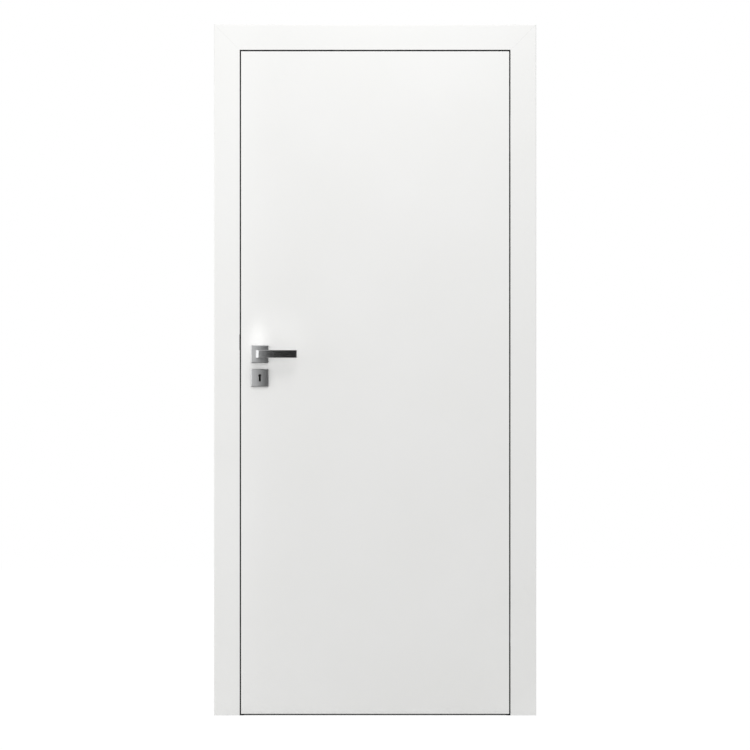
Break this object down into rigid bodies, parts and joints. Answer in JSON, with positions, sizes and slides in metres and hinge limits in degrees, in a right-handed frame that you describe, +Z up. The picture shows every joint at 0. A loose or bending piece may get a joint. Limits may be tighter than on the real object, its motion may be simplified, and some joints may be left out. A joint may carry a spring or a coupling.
{
  "type": "flush interior door in its frame",
  "caption": "White flush interior door in a lined frame, with flat casings, hidden hinges and a square lever handle.",
  "frame": {"origin": "on the flat outer face of the hinge jamb, at floor level, in the middle of the wall's thickness", "axes": "+X out of the hinge jamb into the wall beside it, +Y into the wall from the casing's front side, +Z up"},
  "size_m": [0.982, 0.196, 2.1055],
  "materials": {
    "white_paint": "white satin lacquer on smooth board",
    "satin_nickel": "satin nickel plate",
    "zinc_steel": "zinc plated",
    "rubber_seal": "soft matt seal",
    "tube_board": "raw tubular chipboard",
    "strike_plastic": "black moulded"
  },
  "bodies": {
    "frame": {"hinge_jamb": "white_paint", "lock_jamb": "white_paint", "head_jamb": "white_paint", "front_casing_hinge_side": "white_paint", "front_casing_lock_side": "white_paint", "front_casing_head": "white_paint", "back_casing_hinge_side": "white_paint", "back_casing_lock_side": "white_paint", "back_casing_head": "white_paint", "seal_hinge_side": "rubber_seal", "seal_lock_side": "rubber_seal", "seal_head": "rubber_seal", "strike_plate": "zinc_steel", "strike_box": "strike_plastic", "lower_frame_cup": "zinc_steel", "upper_frame_cup": "zinc_steel"},
    "leaf": {"front_skin": "white_paint", "back_skin": "white_paint", "hinge_stile": "white_paint", "lower_lock_stile": "white_paint", "upper_lock_stile": "white_paint", "lock_block": "white_paint", "top_rail": "white_paint", "bottom_rail": "white_paint", "leaf_core": "tube_board", "lock_case": "zinc_steel", "lock_faceplate": "zinc_steel", "latch_bolt": "strike_plastic", "dead_bolt": "zinc_steel", "front_rose": "satin_nickel", "back_rose": "satin_nickel", "front_key_plate": "satin_nickel", "back_key_plate": "satin_nickel", "lower_leaf_cup": "zinc_steel", "upper_leaf_cup": "zinc_steel"},
    "handle": {"front_lever": "satin_nickel", "back_lever": "satin_nickel", "spindle": "zinc_steel"},
    "hinge_outer_arms": {"lower_outer_arms": "zinc_steel", "upper_outer_arms": "zinc_steel"},
    "hinge_middle_arms": {"lower_middle_arm": "zinc_steel", "upper_middle_arm": "zinc_steel"}
  },
  "joints": [
    {"name": "door_swing", "type": "hinge", "parent": "frame", "child": "leaf", "pos_m": [-0.0455, -0.073, 1.0205], "axis": [0, 0, 1], "range_deg": [0, 170]},
    {"name": "lever_turn", "type": "hinge", "parent": "leaf", "child": "handle", "pos_m": [-0.8072, -0.05, 1.1007], "axis": [0, 1, 0], "range_deg": [0, 45], "stiffness_Nm_per_rad": 1.5, "springref_deg": -22.92},
    {"name": "outer_arm_turn", "type": "hinge", "parent": "frame", "child": "hinge_outer_arms", "pos_m": [-0.041, -0.062, 1.0205], "axis": [0, 0, 1], "range_deg": [0, 170]},
    {"name": "middle_arm_turn", "type": "hinge", "parent": "leaf", "child": "hinge_middle_arms", "pos_m": [-0.05, -0.062, 1.0205], "axis": [0, 0, 1], "range_deg": [-170, 0]}
  ],
  "couplings": [
    {"joint": "outer_arm_turn", "follows": "door_swing", "ratio": 1},
    {"joint": "middle_arm_turn", "follows": "door_swing", "ratio": -1}
  ]
}
